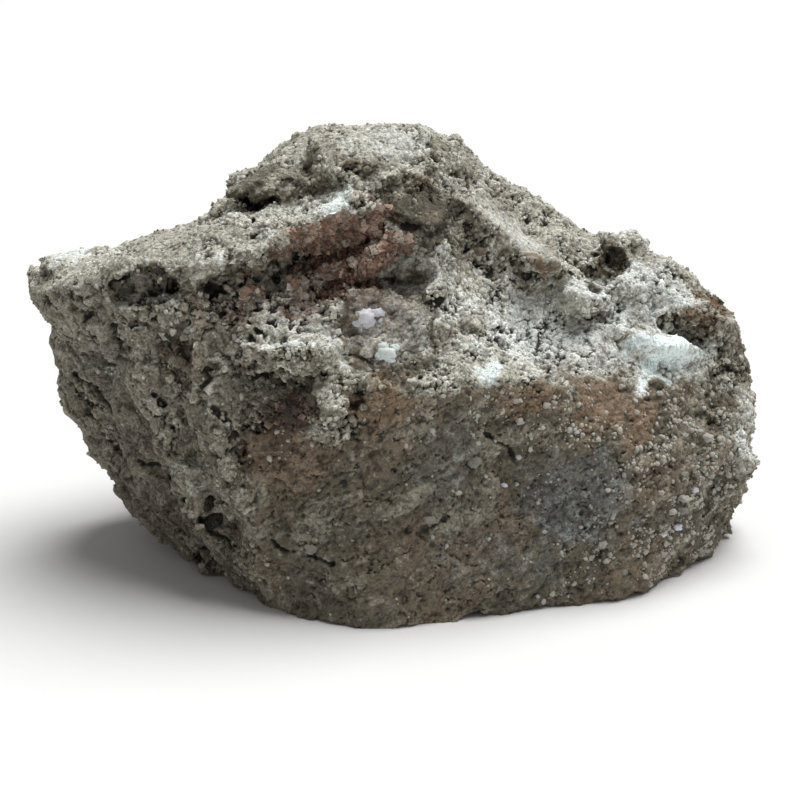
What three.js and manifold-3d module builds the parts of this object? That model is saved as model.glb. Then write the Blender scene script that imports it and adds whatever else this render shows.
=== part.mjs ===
// A lump of natural rock salt, 160 mm long, as one solid. Salt, earthy crust, popcorn nodules and
// crystals grew together in it, so they are fused into a single piece. It rests on a flat broken face.
//
// Millimetres, +Z up. X runs from the left corner to the right shoulder, and -Y is the side with the
// bare salt face. The origin is the middle of the bounding box, at the level that the lump stands on.
import * as THREE from 'three';
import { ImprovedNoise } from 'three/addons/math/ImprovedNoise.js';
import { mergeVertices } from 'three/addons/utils/BufferGeometryUtils.js';
import Module from 'manifold-3d';

const LENGTH = 160; // left corner to right shoulder
const DEPTH = 94; // front foot to back boss
const HEIGHT = 95; // resting face to peak

// A point deep inside the lump, which every broken face looks away from.
const HEART = new THREE.Vector3(2, -1.7, 40);
const BODY_DETAIL = 16; // how finely the body's sphere is divided
const EDGE_SHARPNESS = 26; // higher makes crisper edges between the broken faces
const WELD_DISTANCE = 1e-4; // corners nearer than this are one
const BASE_SPARE = 3; // thickness below the resting level that the flat cut takes away

// The broken faces of the lump: a point that each passes through, and the way it looks.
const BROKEN_FACES = [
  { name: 'front right salt face', through: [34, -36, 10], looks: [0.26, -0.96, 0.14] },
  { name: 'right corner face', through: [62, -23.5, 14], looks: [0.7, -0.7, -0.04] },
  { name: 'front middle face', through: [-10, -42.5, 12], looks: [-0.1, -0.98, 0.14] },
  { name: 'left face, leaning out', through: [-46, -17.5, 5], looks: [-0.72, -0.62, -0.26] },
  { name: 'left underside', through: [-54, -9.5, 5.5], looks: [-0.62, 0, -0.78] },
  { name: 'top left', through: [0, 4.5, 94], looks: [-0.32, -0.08, 0.945] },
  { name: 'upper front', through: [-10, -15.5, 88], looks: [0.1, -0.876, 0.47] },
  { name: 'right slope', through: [73, 8.5, 51], looks: [0.48, -0.62, 0.61] },
  { name: 'ridge down to the right', through: [12, 4.5, 93], looks: [0.55, 0.12, 0.83] },
  { name: 'right shoulder', through: [80.5, 1.5, 47], looks: [0.84, -0.12, 0.52] },
  { name: 'right end', through: [82.5, -3.5, 30], looks: [0.97, -0.2, -0.08] },
  { name: 'right underside', through: [79, -5.5, 8], looks: [0.8, -0.3, -0.52] },
  { name: 'left end', through: [-82, 1.5, 58], looks: [-0.96, 0.2, -0.2] },
  { name: 'back left', through: [-69, 12.5, 40], looks: [-0.62, 0.78, -0.05] },
  { name: 'back left top', through: [-30, 8.5, 82], looks: [-0.3, 0.6, 0.74] },
  { name: 'back top', through: [10, 16.5, 87], looks: [0.05, 0.68, 0.73] },
  { name: 'back middle', through: [0, 42.5, 35], looks: [-0.08, 0.98, 0.18] },
  { name: 'back right', through: [58, 26.5, 30], looks: [0.66, 0.74, 0.12] },
  { name: 'back foot', through: [-5, 38.5, 8], looks: [-0.2, 0.8, -0.56] },
  { name: 'resting face', through: [0, 0, -BASE_SPARE], looks: [0, 0, -1] },
];

// The grain of the whole surface, coarse and fine.
const UNDULATION = { wavelength: 19, height: 1.6, seed: 3 };
const ROUGHNESS = { wavelength: 8.5, onCrust: 2.2, onSalt: 0.7, seed: 7 };

// The bare salt face is the front of the lump below the brow. All the rest is rough crust.
const SALT_FACE = { leftEdge: -34, brow: 47, front: -16, blend: 8 };

// Where the surface swells or sinks, as if pushed by a thumb: the points that the thumb runs along,
// how far round them the push is felt, and how far it goes.
const PUSHES = [
  { name: 'left plateau sinks', along: [[-64, -3.5, 68], [-42, 0.5, 76]], reach: 24, by: [0, 0, -7.5] },
  { name: 'crest swells', along: [[-20, 2.5, 88]], reach: 17, by: [-1, 0, 4] },
  { name: 'ridge dips', along: [[26, 4.5, 84], [44, 6.5, 74]], reach: 17, by: [0, 0, -9.5] },
  { name: 'ridge block stands up', along: [[37, 5.5, 75]], reach: 8, by: [0, 0, 3.2] },
  { name: 'ridge dips beside the peak', along: [[29, 19, 79]], reach: 11, by: [0, 0, -4.4] },
  { name: 'ridge dips before the knob', along: [[43, 22, 69]], reach: 11, by: [0, 0, -4.4] },
  { name: 'shoulder swells', along: [[56, 4.5, 62]], reach: 20, by: [1.6, 0, 2] },
  { name: 'right of the shoulder swells', along: [[67, 3, 55], [77, 2.5, 46]], reach: 15, by: [3, 0, 6] },
  { name: 'nose stands out', along: [[7, -19.5, 80]], reach: 14, by: [0, -8, 0] },
  {
    name: 'slope sinks beside the nose',
    along: [[25, -19.5, 70], [34, -17.5, 62]],
    reach: 19,
    by: [-2, 8, -6],
  },
  {
    name: 'left lip',
    along: [[-70, -11.5, 62], [-50, -25.5, 68], [-36, -27.5, 72]],
    reach: 9,
    by: [-1, -4, 1],
  },
  {
    name: 'lip climbs to the nose',
    along: [[-30, -25, 75], [-19, -22.5, 78], [-9, -20, 81]],
    reach: 9,
    by: [0, -4, 1],
  },
  {
    name: 'brow over the salt face',
    along: [[-6, -37.5, 51], [20, -35.5, 50], [44, -27.5, 48], [64, -15.5, 45]],
    reach: 9,
    by: [0.3, -2.2, 0.8],
  },
  {
    name: 'middle crust stands out',
    along: [[-22, -37.5, 56], [-14, -38.5, 50]],
    reach: 13,
    by: [0, -4, 0],
  },
  {
    name: 'furrow down the left face',
    along: [[-66, -11.5, 52], [-58, -17.5, 38], [-48, -23.5, 22], [-41, -27.5, 10]],
    reach: 7,
    by: [2.6, 2.2, 1],
  },
  {
    name: 'furrow beside the front corner',
    along: [[-52, -26.5, 58], [-46, -29.5, 44], [-39, -33.5, 28], [-33, -36.5, 14]],
    reach: 7,
    by: [2, 2.8, 0.6],
  },
  { name: 'lower left plate stands out', along: [[-42, -29.5, 20]], reach: 14, by: [-2, -3, 0] },
  { name: 'left end draws in', along: [[-76, -2, 47]], reach: 10, by: [3.6, 0, 0] },
  { name: 'left underside swells', along: [[-70, -4, 35], [-58, -8, 24]], reach: 12, by: [-3.4, 0, -1] },
  { name: 'left foot lifts', along: [[-38, -30, 3], [-24, -38, 2]], reach: 12, by: [1, 2, 2.6] },
  { name: 'right end swells', along: [[80, -4, 27]], reach: 12, by: [1.6, 0, 0] },
  { name: 'front toe stands out', along: [[-4, -44.5, 6]], reach: 16, by: [0, -2.5, 0] },
  { name: 'salt face dips', along: [[26, -39.5, 24]], reach: 18, by: [0, 2, 0] },
  { name: 'back dips', along: [[24, 38.5, 56]], reach: 28, by: [-2, -10, -2] },
  { name: 'back left dips', along: [[-48, 30.5, 60]], reach: 22, by: [3, -6, -3] },
  {
    name: 'back ledge',
    along: [[-34, 40.5, 44], [-8, 46.5, 40], [18, 42.5, 34]],
    reach: 10,
    by: [0, 4, 1],
  },
  {
    name: 'back furrow',
    along: [[36, 36.5, 40], [30, 42.5, 20], [22, 44.5, 6]],
    reach: 8,
    by: [-1, -4, 0],
  },
];

// Hollows are cut out of the body, and chunks of crust are fused to it. Each is a rough block of
// these radii, turned about X, Y and Z in degrees, and set at its place.
const HOLLOWS = [
  { name: 'red hollow, left', at: [-31, -32.5, 68], radii: [9, 5.5, 5.5], turn: [-14, -24, 8] },
  { name: 'red hollow, right', at: [-14, -27, 71.5], radii: [12, 6.5, 7], turn: [-20, -22, 0] },
  { name: 'hollow under the nose', at: [4, -26, 70], radii: [9, 8, 6], turn: [-14, 8, -10] },
  { name: 'groove beside the nose', at: [16, -13, 78], radii: [3, 5, 7], turn: [10, 24, 20] },
  { name: 'pit by the knob', at: [46.5, 1, 61.5], radii: [4, 4.5, 3.4], turn: [-10, 20, 0] },
  { name: 'right shoulder hollow', at: [63.5, -2, 51.5], radii: [8.5, 5.5, 4], turn: [-30, 26, 10] },
  { name: 'gap under the middle crust', at: [-23, -39.5, 49], radii: [9, 4.4, 2.6], turn: [0, 12, 0] },
  { name: 'gap under the top slab', at: [-28, -14, 81.5], radii: [7, 6, 2.2], turn: [0, -14, 0] },
  { name: 'pit under the left lip', at: [-51, -30.5, 67], radii: [8, 4.4, 3], turn: [0, -4, 0] },
  { name: 'pit in the left face', at: [-61, -17, 46], radii: [4, 5, 5], turn: [0, 20, 30] },
  { name: 'pit in the back', at: [-20, 45, 30], radii: [7, 5, 4], turn: [0, 10, 0] },
  { name: 'notch in the back edge', at: [44, 34, 62], radii: [7, 8, 5], turn: [20, 20, 30] },
];

const CHUNKS = [
  { name: 'top slab', at: [-25.5, -8, 84.3], radii: [9.5, 6, 3], turn: [6, -16, 6] },
  { name: 'crest block', at: [-10, -8, 89.5], radii: [8, 7, 3.4], turn: [14, -10, 20] },
  { name: 'left cap', at: [-65.5, -5, 64], radii: [8.5, 7, 3.4], turn: [0, -8, 14] },
  { name: 'knob', at: [49, 6, 63.4], radii: [3.8, 3.8, 4.2], turn: [10, 14, 30] },
  { name: 'shoulder lip', at: [58, -7, 47.5], radii: [10, 5, 3.4], turn: [-30, 14, 14] },
  { name: 'slope flake', at: [32, -3.5, 64.5], radii: [6, 4, 2.4], turn: [-30, 16, 0] },
  { name: 'slope block', at: [41.5, -6.5, 57.5], radii: [5.5, 5, 3.6], turn: [-30, 20, 10] },
  { name: 'crust plate', at: [-20, -36.5, 56], radii: [9, 3.6, 3.4], turn: [12, -4, -6] },
  { name: 'hanging crust', at: [-12, -38.8, 43.5], radii: [3.8, 3, 7.5], turn: [8, -6, 0] },
  { name: 'right end boss', at: [74.5, -8, 20.5], radii: [5, 5.5, 6], turn: [0, 10, 20] },
  { name: 'slab on the back', at: [-34, 25, 62], radii: [11, 6, 6], turn: [30, 10, 20] },
  { name: 'plate on the back', at: [35, 38, 22], radii: [9, 4, 8], turn: [0, 20, -50] },
];

// Cracks follow the surface through these points.
const CRACK_DEPTH = 3.2;
const CRACK_STEPS = 6;
const CRACKS = [
  {
    name: 'left crack',
    width: 3,
    along: [[-73, -1.5, 40], [-67, -6.5, 38], [-62.5, -10.5, 33], [-59.5, -12.5, 27], [-57.5, -13, 20]],
  },
  {
    name: 'corner crack',
    width: 2.6,
    along: [[-38, -37.5, 44], [-34.5, -39.5, 39], [-31, -40.5, 33], [-29.5, -40.5, 28]],
  },
];

// Patches of small growths, which are thrown onto the surface from one side, about a point.
const GROWTHS = [
  {
    name: 'popcorn on the right end',
    kind: 'nodule',
    at: [72, -12.5, 34],
    from: [0.6, -1, 0.2],
    spread: [9, 16],
    count: 9,
    size: [1.6, 2.6],
  },
  {
    name: 'popcorn on the brow',
    kind: 'nodule',
    at: [22, -29.5, 50],
    from: [0.2, -1, 0.5],
    spread: [22, 7],
    count: 5,
    size: [1.6, 2.4],
  },
  {
    name: 'lilac bloom',
    kind: 'nodule',
    at: [-5, -30.5, 62],
    from: [0, -1, 0.6],
    spread: [2.6, 2],
    count: 3,
    size: [1.8, 2.3],
  },
  {
    name: 'blue bloom',
    kind: 'nodule',
    at: [-1, -32.5, 55.5],
    from: [0, -1, 0.5],
    spread: [0.8, 0.8],
    count: 2,
    size: [1.8, 2.1],
  },
  {
    name: 'popcorn on the back',
    kind: 'nodule',
    at: [20, 42.5, 30],
    from: [0.2, 1, 0.2],
    spread: [26, 14],
    count: 6,
    size: [1.6, 2.6],
  },
  {
    name: 'crystals in the red hollow',
    kind: 'crystal',
    at: [-24, -29.5, 68],
    from: [0, -1, 0.3],
    spread: [17, 7],
    count: 14,
    size: [2.4, 4],
  },
  {
    name: 'crystals under the nose',
    kind: 'crystal',
    at: [4, -23.5, 67],
    from: [0, -1, 0.1],
    spread: [10, 6],
    count: 6,
    size: [2.4, 3.6],
  },
];
const THROW_FROM = 60; // further out than anything on the lump
const NODULE_SQUASH = 0.85;

const CHUNK_BLOCKINESS = 2.8; // 2 is a ball, and higher is nearer a box
const CHUNK_NOISE = { wavelength: 0.85, share: 0.5 };
const SMALL_CHUNK = 9.2; // one shorter than this is a coarser block

const wasm = await Module();
wasm.setup();

const perlin = new ImprovedNoise();

function noiseAt(p, wavelength, seed = 0) {
  return perlin.noise(p.x / wavelength + seed, p.y / wavelength + 2 * seed, p.z / wavelength - seed);
}

// The same run of random numbers every time.
let draws = 0;
function random(low, high) {
  draws += 1;
  return low + (high - low) * THREE.MathUtils.seededRandom(draws);
}

// A geometry with its shared corners merged, ready to be moved or made a solid.
function weld(geometry) {
  geometry.deleteAttribute('normal');
  geometry.deleteAttribute('uv');
  return mergeVertices(geometry, WELD_DISTANCE);
}

function moveVertices(geometry, move) {
  const position = geometry.getAttribute('position');
  const p = new THREE.Vector3();
  for (let i = 0; i < position.count; i++) {
    p.fromBufferAttribute(position, i);
    move(p);
    position.setXYZ(i, p.x, p.y, p.z);
  }
  return geometry;
}

function solidOf(geometry) {
  return new wasm.Manifold(
    new wasm.Mesh({
      numProp: 3,
      vertProperties: geometry.getAttribute('position').array,
      triVerts: new Uint32Array(geometry.index.array),
    }),
  );
}

function geometryOf(solid) {
  const mesh = solid.getMesh();
  const geometry = new THREE.BufferGeometry();
  geometry.setAttribute('position', new THREE.BufferAttribute(mesh.vertProperties, 3));
  geometry.setIndex(new THREE.BufferAttribute(mesh.triVerts, 1));
  return geometry;
}

// How far from the heart the stone reaches in a direction. Each broken face cuts it off, and the
// power mean of the cuts rounds the edges between them.
function reachOf(direction, faces) {
  let sum = 0;
  for (const face of faces) {
    const share = direction.dot(face.normal) / face.distance;
    if (share > 0) sum += share ** EDGE_SHARPNESS;
  }
  return sum ** (-1 / EDGE_SHARPNESS);
}

function distanceToRun(p, along) {
  const run = along.map((point) => new THREE.Vector3(...point));
  if (run.length === 1) return p.distanceTo(run[0]);
  const nearest = new THREE.Vector3();
  const distances = run.slice(1).map((end, i) => {
    new THREE.Line3(run[i], end).closestPointToPoint(p, true, nearest);
    return nearest.distanceTo(p);
  });
  return Math.min(...distances);
}

// 1 on the bare salt face, 0 on the crust, and between the two where they meet.
function saltShare(p) {
  const { leftEdge, brow, front, blend } = SALT_FACE;
  const inside = Math.min(p.x - leftEdge, brow - p.z, front - p.y);
  return THREE.MathUtils.smoothstep(inside, 0, blend);
}

// The lump before anything is cut out of it or grows on it.
function body() {
  const faces = BROKEN_FACES.map(({ through, looks }) => {
    const normal = new THREE.Vector3(...looks).normalize();
    const distance = new THREE.Vector3(...through).sub(HEART).dot(normal);
    return { normal, distance };
  });
  const direction = new THREE.Vector3();
  const sphere = weld(new THREE.IcosahedronGeometry(1, BODY_DETAIL));
  return moveVertices(sphere, (p) => {
    direction.copy(p).normalize();
    p.copy(direction).multiplyScalar(reachOf(direction, faces)).add(HEART);
    const roughness = THREE.MathUtils.lerp(ROUGHNESS.onCrust, ROUGHNESS.onSalt, saltShare(p));
    const swell =
      UNDULATION.height * noiseAt(p, UNDULATION.wavelength, UNDULATION.seed) +
      roughness * noiseAt(p, ROUGHNESS.wavelength, ROUGHNESS.seed);
    p.addScaledVector(direction, swell);
    const unpushed = p.clone();
    for (const { along, reach, by } of PUSHES) {
      const away = distanceToRun(unpushed, along) / reach;
      if (away < 1) p.addScaledVector(new THREE.Vector3(...by), (1 - away * away) ** 2);
    }
  });
}

// A rounded block of these radii, roughened so that no two are alike.
function roughBlock({ at, radii, turn }) {
  const seed = at[0] + at[2];
  const k = CHUNK_BLOCKINESS;
  const detail = Math.max(...radii) < SMALL_CHUNK ? 1 : 2;
  const block = moveVertices(weld(new THREE.IcosahedronGeometry(1, detail)), (p) => {
    const size = (Math.abs(p.x) ** k + Math.abs(p.y) ** k + Math.abs(p.z) ** k) ** (1 / k);
    p.multiplyScalar((1 + CHUNK_NOISE.share * noiseAt(p, CHUNK_NOISE.wavelength, seed)) / size);
  });
  const [turnX, turnY, turnZ] = turn.map(THREE.MathUtils.degToRad);
  return block
    .scale(...radii)
    .rotateX(turnX)
    .rotateY(turnY)
    .rotateZ(turnZ)
    .translate(...at);
}

// What is cut away for a crack: a diamond section swept along it.
function crackCutter({ along, width }) {
  const curve = new THREE.CatmullRomCurve3(along.map((p) => new THREE.Vector3(...p)));
  const section = new THREE.Shape([
    new THREE.Vector2(0, -width / 2),
    new THREE.Vector2(CRACK_DEPTH, 0),
    new THREE.Vector2(0, width / 2),
    new THREE.Vector2(-CRACK_DEPTH, 0),
  ]);
  return weld(
    new THREE.ExtrudeGeometry(section, { steps: CRACK_STEPS, extrudePath: curve, bevelEnabled: false }),
  );
}

// One growth, half sunk in the stone: a cube of salt with unequal sides, or a round popcorn nodule.
function growth(kind, place, size) {
  const shape =
    kind === 'crystal'
      ? new THREE.BoxGeometry(size, size * random(0.7, 1.1), size * random(0.7, 1.3))
      : new THREE.IcosahedronGeometry(size).scale(1, 1, NODULE_SQUASH);
  return weld(shape)
    .rotateX(random(0, Math.PI))
    .rotateY(random(0, Math.PI))
    .rotateZ(random(0, Math.PI))
    .translate(...place);
}

// The solids of one patch, each where its throw meets the stone.
function growthSolids(stone, { kind, at, from, spread, count, size }) {
  const target = new THREE.Mesh(geometryOf(stone));
  const away = new THREE.Vector3(...from).normalize();
  const across = new THREE.Vector3(0, 0, 1).cross(away).normalize();
  const upward = new THREE.Vector3().crossVectors(away, across);
  const solids = [];
  for (let i = 0; i < count; i++) {
    const angle = random(0, 2 * Math.PI);
    const share = Math.sqrt(random(0, 1));
    const start = new THREE.Vector3(...at)
      .addScaledVector(across, Math.cos(angle) * share * spread[0])
      .addScaledVector(upward, Math.sin(angle) * share * spread[1])
      .addScaledVector(away, THROW_FROM);
    const hit = new THREE.Raycaster(start, away.clone().negate()).intersectObject(target)[0];
    const solid = growth(kind, hit.point, random(...size));
    solids.push(solidOf(solid));
  }
  return solids;
}

// Everything below the resting level, which leaves the lump a flat face to stand on.
function ground() {
  const side = 2 * LENGTH;
  return weld(new THREE.BoxGeometry(side, side, HEIGHT)).translate(0, 0, -HEIGHT / 2);
}

function lumpOfSalt() {
  let stone = solidOf(body());
  for (const hollow of HOLLOWS) stone = stone.subtract(solidOf(roughBlock(hollow)));
  for (const chunk of CHUNKS) stone = stone.add(solidOf(roughBlock(chunk)));
  for (const crack of CRACKS) stone = stone.subtract(solidOf(crackCutter(crack)));
  for (const patch of GROWTHS) {
    for (const solid of growthSolids(stone, patch)) stone = stone.add(solid);
  }
  return stone.subtract(solidOf(ground()));
}

// Brings the finished lump to its measured length, depth and height, centred over the origin.
function toSize(geometry) {
  geometry.computeBoundingBox();
  const size = geometry.boundingBox.getSize(new THREE.Vector3());
  const middle = geometry.boundingBox.getCenter(new THREE.Vector3());
  return geometry
    .translate(-middle.x, -middle.y, 0)
    .scale(LENGTH / size.x, DEPTH / size.y, HEIGHT / size.z);
}

const specimen = new THREE.Mesh(
  toSize(geometryOf(lumpOfSalt())),
  new THREE.MeshStandardMaterial({ color: 0x8d8577, roughness: 0.85, metalness: 0 }),
);
specimen.name = 'rock_salt_specimen';

const group = new THREE.Group();
group.add(specimen);

export default group;
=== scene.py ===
"""The look of a lump of natural rock salt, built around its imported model.

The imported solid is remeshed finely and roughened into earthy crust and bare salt. Then crumbs,
crystals, popcorn nodules, blooms and flakes are set into that surface. Shapes are worked out in
millimetres, and each finished mesh is written in metres.
"""

import functools
import math

import bmesh
import bpy
import numpy as np
from bpy.props import FloatProperty, FloatVectorProperty, PointerProperty
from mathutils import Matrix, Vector, noise


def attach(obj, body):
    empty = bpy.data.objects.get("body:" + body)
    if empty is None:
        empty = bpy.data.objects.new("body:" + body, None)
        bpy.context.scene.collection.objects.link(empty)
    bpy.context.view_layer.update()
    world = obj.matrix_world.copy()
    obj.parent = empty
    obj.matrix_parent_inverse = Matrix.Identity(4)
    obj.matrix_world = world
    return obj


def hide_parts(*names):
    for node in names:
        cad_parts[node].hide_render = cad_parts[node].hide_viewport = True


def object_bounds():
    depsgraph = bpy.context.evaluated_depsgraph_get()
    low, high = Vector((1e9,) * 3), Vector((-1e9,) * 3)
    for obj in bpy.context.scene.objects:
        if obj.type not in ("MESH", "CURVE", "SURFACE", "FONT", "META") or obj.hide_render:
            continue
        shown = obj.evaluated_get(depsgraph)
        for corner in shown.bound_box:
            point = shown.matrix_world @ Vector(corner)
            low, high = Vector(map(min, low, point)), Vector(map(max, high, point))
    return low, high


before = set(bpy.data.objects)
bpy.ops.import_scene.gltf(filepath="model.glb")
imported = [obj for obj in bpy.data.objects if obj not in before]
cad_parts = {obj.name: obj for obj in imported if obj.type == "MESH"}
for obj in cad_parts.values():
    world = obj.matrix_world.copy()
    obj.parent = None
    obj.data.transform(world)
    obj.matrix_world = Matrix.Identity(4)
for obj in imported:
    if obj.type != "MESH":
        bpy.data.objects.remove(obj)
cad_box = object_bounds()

bl_info = {
    "name": "Rock salt specimen",
    "version": (1, 0, 0),
    "blender": (4, 5, 0),
    "location": "View3D > Sidebar > Rock salt",
    "description": "Crust, crumbs, crystals and popcorn nodules of a lump of natural rock salt",
    "category": "Add Mesh",
}

MM = 0.001
NODE = "rock_salt_specimen"

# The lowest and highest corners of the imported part, how far a piece dips under its rim, and the
# point deep inside the stone where its hidden side ends.
LOW, HIGH = (np.array(corner) / MM for corner in cad_box)
DIP = 4
HEART = (0, -3, 38)

# The salt is bare below the brow, which runs along the front from the left corner to the right end,
# and in front of the crust behind it. It also shows in two windows, and two tongues of crust cross it.
BROW_X = [-34, -22, -8, 0, 18, 34, 52, 64, 74, 80]
BROW_Z = [44, 44, 47, 49, 49, 46.5, 43, 40, 37, 33]
SALT_LEFT = -30
SALT_RIGHT = 73.5
FRONT_X = [-31, 20, 60, 80]
FRONT_Y = [-26, -16, -8, 1]
SALT_WINDOWS = [((24, 42, 24), (30, 18, 17)), ((-1.5, -31, 58.5), (10, 12, 10))]
CRUST_TONGUES = [((-12.5, -42, 43), (4.2, 8, 7.5)), ((-27, -39, 43), (5, 6, 3.4))]

# Directions that the grain of the stone runs in: down the left face, and in the layers of the salt.
DOWN_THE_LEFT = (0.49, -0.31, -0.82)
SALT_LAYERS = (0.85, 0.1, 0.5)
CRUST_LAYERS = (1, 0.2, 0.1)

# The patches of each stain and of each kind of relief: the X, Y and Z of a patch, how far it spreads
# along X, Y and Z, and how strong it is. The light and dark patches are partly real tone and
# partly painted light and shade.
STAINS = {
    "red": [
        (-12, -25, 74.5, 15, 9, 7.5, 1.0), (-24, -31, 68.5, 9, 7, 5.5, 0.75), (-1, -22, 76, 5, 7, 6, 0.85),
        (-36, -33, 65, 9, 6, 5, 0.4), (-3, -21.5, 80.8, 6, 6, 5.5, 0.9), (-19, -30, 64.5, 9, 6, 5, 0.5),
        (-3, -30, 63, 6, 6, 3.5, 0.5), (-9, -25, 69, 9, 7, 5, 0.95), (65, -1, 53, 10, 7, 4, 0.35),
        (-44, -31, 52, 5, 5, 9, 0.4), (-20, -39, 44, 5.5, 6, 4.4, 0.5), (-20, 20, 70, 14, 10, 8, 0.5),
        (30, 40, 30, 12, 8, 8, 0.35),
    ],
    "orange": [
        (46, -25, 40, 16, 10, 6.5, 0.85), (28, -34, 46, 11, 6, 4.5, 0.75), (31, -8, 66.5, 5.5, 5, 1.8, 0.6),
        (-3, -37, 47, 8, 7, 6, 0.9), (-22, -39, 34, 12, 6, 9, 0.6), (42, -8, 57, 4, 4, 3, 0.5),
        (-3, -31, 59, 8, 9, 8, 0.5), (66, 1, 54, 10, 8, 4, 0.8), (20, 42, 36, 12, 8, 5, 0.7),
    ],
    "cool": [
        (38, -32, 22, 15, 9, 11, 1.0), (10, -39, 33, 8, 8, 9, 0.6), (18, -37, 12, 18, 8, 8, 0.6),
        (28, 42, 18, 16, 10, 10, 0.8), (-60, -18, 40, 12, 12, 20, 0.25),
    ],
    "pale": [
        (56.5, -12, 49.6, 7.2, 8, 2.6, 1.4), (60, -14, 45.4, 9, 8, 3.2, 1.6),
        (18.5, -31, 51.4, 4.5, 4, 3, 0.95), (-12.5, -23, 84, 4, 4, 2.4, 0.9),
        (-35, -16, 79.6, 4, 4, 2.4, 0.9), (-67, -4, 66, 8, 7, 3.4, 0.8), (-1, -31, 59.5, 10, 10, 9.5, 0.42),
        (0, -7, 93, 16, 9, 4, 0.5), (44, -7, 58, 4, 4, 5, 0.5), (-10, -34, 56, 6, 5, 2.2, 0.5),
        (-27, -38.5, 57.3, 4.5, 4, 1.6, 0.45), (10, 25, 70, 10, 8, 6, 0.6), (-40, 34, 50, 7, 6, 4, 0.6),
    ],
    "sleek": [
        (-27, -13, 85, 9, 5, 4, 0.9), (7, -20, 79.5, 8, 8, 6.5, 0.85), (-43.5, -33, 53, 5, 5, 4.5, 0.8),
        (-20, -39, 44, 5, 5, 4.5, 0.8), (26, -1, 73, 12, 9, 7.5, 0.9), (32, -7.5, 66, 4, 4, 2.4, 0.9),
        (38, -9, 60, 7, 6, 5, 0.85), (-1, -31, 60, 7, 5, 4, 0.6), (45, -26, 41, 12, 8, 4.5, 0.7),
        (-30, 30, 60, 10, 8, 6, 0.6), (30, 36, 50, 9, 8, 6, 0.6), (0, 44, 20, 12, 6, 7, 0.6),
    ],
    "blocks": [
        (38, -9, 60, 6.5, 5, 5, 1.0), (33, -6.5, 62.5, 3, 4, 3, 0.8), (76, -8, 24, 5, 8, 9, 0.9),
        (-5, -31.5, 61.5, 4.5, 4, 3, 0.7), (24, 44, 34, 9, 6, 6, 0.7),
    ],
    "pitted": [
        (-28, -32, 65, 15, 9, 6, 1.0), (-46, -31, 66, 10, 7, 5, 0.8), (-14, -30, 64, 7, 6, 4, 0.7),
        (-24, -37, 53, 16, 7, 4, 0.6), (-4, -26, 67, 8, 6, 3, 0.6), (12, -14, 74, 6, 8, 6, 0.6),
        (-30, 36, 40, 14, 10, 12, 0.6),
    ],
    "scab": [
        (-20, -40, 24, 13, 8, 11, 0.3), (10, -35, 43, 10, 7, 6, 0.5), (16, -36, 35, 5, 6, 8, 0.4),
        (66, -16, 30, 9, 9, 10, 0.35), (-1, -32, 60, 9, 9, 9, 0.4),
    ],
    # Partly painted light: these patches lift pale crust and also places that lie in shade.
    "light": [
        (34, -16, 57, 26, 16, 12, 1.25), (52, -4, 58, 16, 11, 9, 1.45), (24, -3, 72, 10, 9, 9, 0.7),
        (8, -27, 62, 12, 8, 6, 0.75), (-22, -21, 82, 15, 6, 4, 0.6), (-62, -16, 69, 16, 14, 3.5, 0.2),
        (12, -34, 51, 34, 7, 3.5, 0.15), (58, -9, 47, 16, 9, 6, 1.6), (-25, -29.5, 75.6, 6, 4, 2.4, 0.9),
        (-13, -35, 57, 15, 7, 5, 0.9), (-28, -38, 57, 8, 5, 3, 0.5), (-12, -41, 43, 4.5, 5, 6.5, 0.35),
        (-35, -31, 73.4, 6, 5, 1.9, 0.9), (11, -24, 66, 8, 7, 6, 0.5), (6, -20, 69, 9, 6, 4.6, 1.5),
        (77, -6, 27, 6, 10, 12, 1.1), (51, 9, 68, 6, 5, 3.4, 0.7), (-6, -31, 63, 8, 5, 3, 0.35),
        (-18, -31, 63, 9, 6, 4, 1.05), (-10, 30, 66, 26, 14, 8, 0.3),
    ],
    # Partly painted shade: these patches darken dark crust and also the shadows under the nose, in the
    # clefts and in the pits.
    "dark": [
        (-20, -39, 43.8, 5.4, 7, 4.4, 1.5), (-24, -39, 36.5, 10, 6, 3.4, 0.8), (14, -38, 32, 3, 6, 9, 0.45),
        (30, -36, 42, 7, 6, 2.6, 0.5), (-29, -15.5, 81.2, 9, 3.4, 2.6, 0.8),
        (-27, -13, 85, 9, 5, 3.4, 0.95), (-4, -6, 93, 16, 9, 4, 0.1), (-10, -13, 88, 5, 4, 4, 0.3),
        (6, -16, 83, 7.5, 8, 5, 1.5), (-44, -33, 53, 5, 6, 7, 0.9), (31, -8, 66.2, 5, 5, 1.6, 0.7),
        (8.5, -21, 79, 8, 7, 2.5, 1.6), (11, -17, 75.6, 5, 6, 2.6, 0.9), (-15, -9, 89, 2.6, 8, 5.5, 0.9),
        (-28, -13, 84, 8, 5, 3, 0.3), (-1, -25, 66.5, 9, 6, 2.8, 1.2), (47, 2.5, 66.5, 3.6, 5, 4.4, 1.3),
        (10.2, -6, 90.6, 2.4, 7, 3, 0.9), (65, 0, 53, 10, 7, 3.6, 1.3), (-45, -32, 69.5, 9, 4, 2.6, 0.6),
        (-44, -33, 53, 6, 6, 5, 0.4), (47, 2, 65, 4, 5, 4, 1.5), (-23, -37.5, 49, 9, 5, 3, 0.6),
        (14, -8, 76, 2.6, 5, 11, 0.15), (-62, -15, 30, 18, 14, 16, 0.3), (-50, -22, 14, 30, 20, 12, 0.45),
        (24, -12, 59, 4.5, 5, 4, 0.3),
    ],
}

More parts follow.
